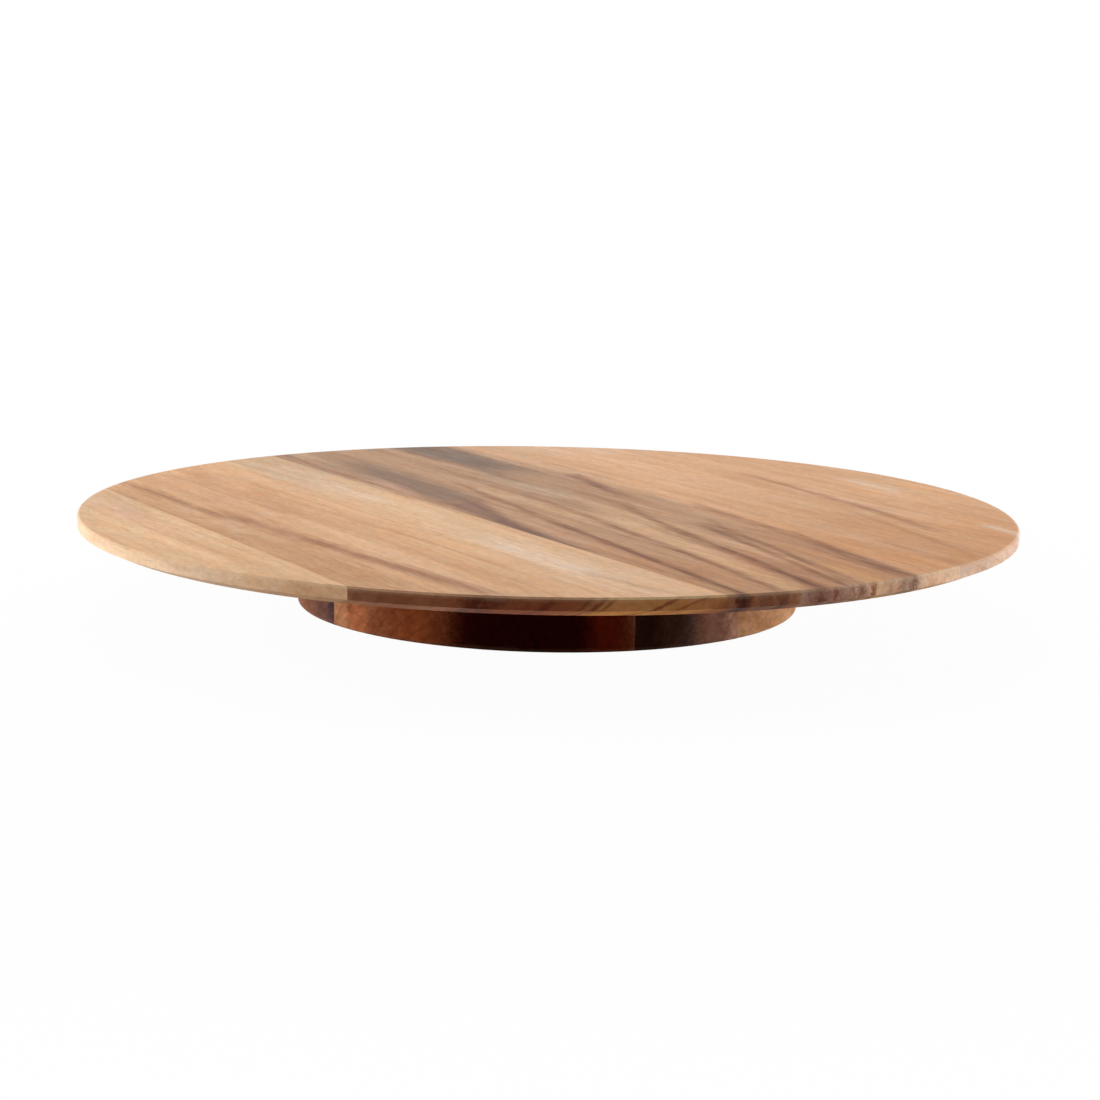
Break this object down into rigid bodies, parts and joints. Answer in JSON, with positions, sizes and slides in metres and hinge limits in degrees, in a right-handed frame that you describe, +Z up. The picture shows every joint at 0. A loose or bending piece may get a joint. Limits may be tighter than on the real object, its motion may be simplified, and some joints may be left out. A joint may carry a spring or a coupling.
{
  "type": "lazy susan turntable",
  "caption": "Round wooden turntable with a shallow bevelled underside that spins on a flat ring ball bearing over a smaller round wooden base with rubber feet.",
  "frame": {"origin": "on the supporting surface, below the centre of the turntable", "axes": "+Z up along the spin axis; +X to the right and +Y away, seen from the front; the base planks run along Y"},
  "size_m": [0.45, 0.45, 0.05],
  "materials": {
    "top_plank_sand": "oiled, pale sapwood",
    "top_plank_honey": "oiled, honey coloured with brown streaks",
    "top_plank_striped": "oiled, brown heartwood with dark stripes",
    "top_plank_peach": "oiled, peach coloured",
    "base_plank_plum": "oiled, purple brown",
    "base_plank_russet": "oiled, russet brown end grain",
    "base_plank_umber": "oiled, dark umber",
    "base_plank_orange": "oiled, orange brown",
    "ring_metal": "turned and brushed",
    "ball_steel": "polished",
    "cage_plastic": "natural, matt",
    "screw_steel": "zinc plated",
    "foot_rubber": "matt black"
  },
  "bodies": {
    "base": {"base_stave_1": "base_plank_plum", "base_stave_2": "base_plank_russet", "base_stave_3": "base_plank_umber", "base_stave_4": "base_plank_orange", "outer_ring": "ring_metal", "filler_plug": "screw_steel", "outer_ring_screws": "screw_steel", "foot_1": "foot_rubber", "foot_2": "foot_rubber", "foot_3": "foot_rubber", "foot_4": "foot_rubber", "foot_screws": "screw_steel"},
    "turntable": {"top_stave_1": "top_plank_sand", "top_stave_2": "top_plank_honey", "top_stave_3": "top_plank_striped", "top_stave_4": "top_plank_peach", "inner_ring": "ring_metal", "inner_ring_screws": "screw_steel"},
    "cage": {"ball_cage": "cage_plastic", "bearing_balls": "ball_steel"}
  },
  "joints": [
    {"name": "turntable_spin", "type": "hinge", "parent": "base", "child": "turntable", "pos_m": [0, 0, 0.02975], "axis": [0, 0, 1], "continuous": true},
    {"name": "cage_spin", "type": "hinge", "parent": "base", "child": "cage", "pos_m": [0, 0, 0.02975], "axis": [0, 0, 1], "continuous": true}
  ],
  "couplings": [
    {"joint": "cage_spin", "follows": "turntable_spin", "ratio": 0.4917}
  ]
}
